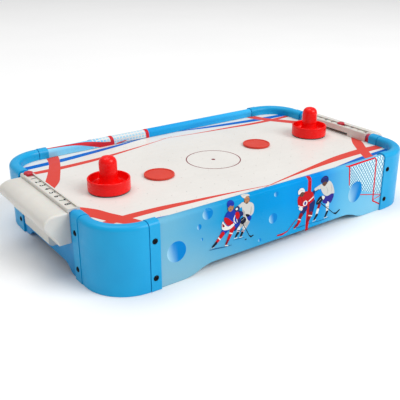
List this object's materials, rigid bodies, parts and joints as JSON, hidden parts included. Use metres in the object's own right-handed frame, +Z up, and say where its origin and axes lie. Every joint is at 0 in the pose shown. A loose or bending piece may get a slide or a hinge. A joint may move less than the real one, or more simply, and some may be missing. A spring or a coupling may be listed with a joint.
{
  "type": "air hockey table",
  "caption": "Tabletop air hockey game: arched boards between rounded corner mouldings, blown playing surface, goal hoods with score rails, pushers and pucks.",
  "frame": {"origin": "on the floor, under the middle of the table", "axes": "+X along the length, +Y from the front board to the rear board, +Z up"},
  "size_m": [0.57, 0.314, 0.1173],
  "materials": {
    "blue_plastic": "satin moulded plastic",
    "black_screw": "black coated steel",
    "printed_board": "fibreboard in printed film, blue",
    "blue_board": "fibreboard in blue film",
    "playing_surface": "thin fibreboard, smooth white lacquer",
    "raw_board": "raw hardboard",
    "pine": "sawn softwood",
    "white_plastic": "satin moulded plastic",
    "red_plastic": "glossy moulded plastic",
    "felt": "pressed felt",
    "zinc_screw": "zinc plated",
    "black_plastic": "fine texture",
    "motor_steel": "plated",
    "switch_red": "glossy",
    "cell_wrap": "plain shrink sleeve",
    "lead_rubber": "soft sheath"
  },
  "bodies": {
    "table": {"corner_front_left": "blue_plastic", "corner_front_right": "blue_plastic", "corner_rear_left": "blue_plastic", "corner_rear_right": "blue_plastic", "corner_screws_front_left": "black_screw", "corner_screws_front_right": "black_screw", "corner_screws_rear_left": "black_screw", "corner_screws_rear_right": "black_screw", "side_board_front": "printed_board", "side_board_rear": "printed_board", "end_board_left": "blue_board", "end_board_right": "blue_board", "playing_surface": "playing_surface", "plenum_floor": "raw_board", "batten_front": "pine", "batten_rear": "pine", "batten_left": "pine", "batten_right": "pine", "surface_posts": "pine", "score_rail_left": "white_plastic", "score_rail_right": "white_plastic", "goal_hood_left": "white_plastic", "goal_hood_right": "white_plastic", "hood_screws_left": "zinc_screw", "hood_screws_right": "zinc_screw", "fan_screws": "zinc_screw", "battery_box_screws": "zinc_screw", "fan_housing": "black_plastic", "fan_grille": "black_plastic", "battery_box": "black_plastic", "switch_body": "black_plastic", "lead_clips": "black_plastic", "fan_motor": "motor_steel", "battery_contacts": "motor_steel", "battery_cells": "cell_wrap", "lead_switch": "lead_rubber", "lead_fan": "lead_rubber"},
    "slider_left": {"score_slider_left": "red_plastic"},
    "slider_right": {"score_slider_right": "red_plastic"},
    "pusher_left": {"pusher_left": "red_plastic", "pusher_pad_left": "felt"},
    "pusher_right": {"pusher_right": "red_plastic", "pusher_pad_right": "felt"},
    "puck_left": {"puck_left": "red_plastic"},
    "puck_right": {"puck_right": "red_plastic"},
    "impeller": {"fan_impeller": "black_plastic", "fan_shaft": "motor_steel"},
    "rocker": {"switch_rocker": "switch_red"},
    "battery_door": {"battery_door": "black_plastic"}
  },
  "joints": [
    {"name": "score_slide_left", "type": "slide", "parent": "table", "child": "slider_left", "axis": [0, 1, 0], "range_m": [-0.1256, 0.0016]},
    {"name": "score_slide_right", "type": "slide", "parent": "table", "child": "slider_right", "axis": [0, 1, 0], "range_m": [-0.0512, 0.076]},
    {"name": "pusher_slide_left", "type": "slide", "parent": "table", "child": "pusher_left", "axis": [0, 1, 0], "range_m": [-0.096, 0.128]},
    {"name": "pusher_slide_right", "type": "slide", "parent": "table", "child": "pusher_right", "axis": [0, 1, 0], "range_m": [-0.118, 0.106]},
    {"name": "puck_slide_left", "type": "slide", "parent": "table", "child": "puck_left", "axis": [0, 1, 0], "range_m": [-0.108, 0.128]},
    {"name": "puck_slide_right", "type": "slide", "parent": "table", "child": "puck_right", "axis": [0, 1, 0], "range_m": [-0.1325, 0.1035]},
    {"name": "fan_spin", "type": "hinge", "parent": "table", "child": "impeller", "pos_m": [0, 0, 0.034], "axis": [0, 0, 1], "continuous": true},
    {"name": "switch_rock", "type": "hinge", "parent": "table", "child": "rocker", "pos_m": [0.15, 0.1519, 0.03], "axis": [0, 0, 1], "range_deg": [-18, 0]},
    {"name": "battery_door_slide", "type": "slide", "parent": "table", "child": "battery_door", "axis": [1, 0, 0], "range_m": [0, 0.064]}
  ]
}
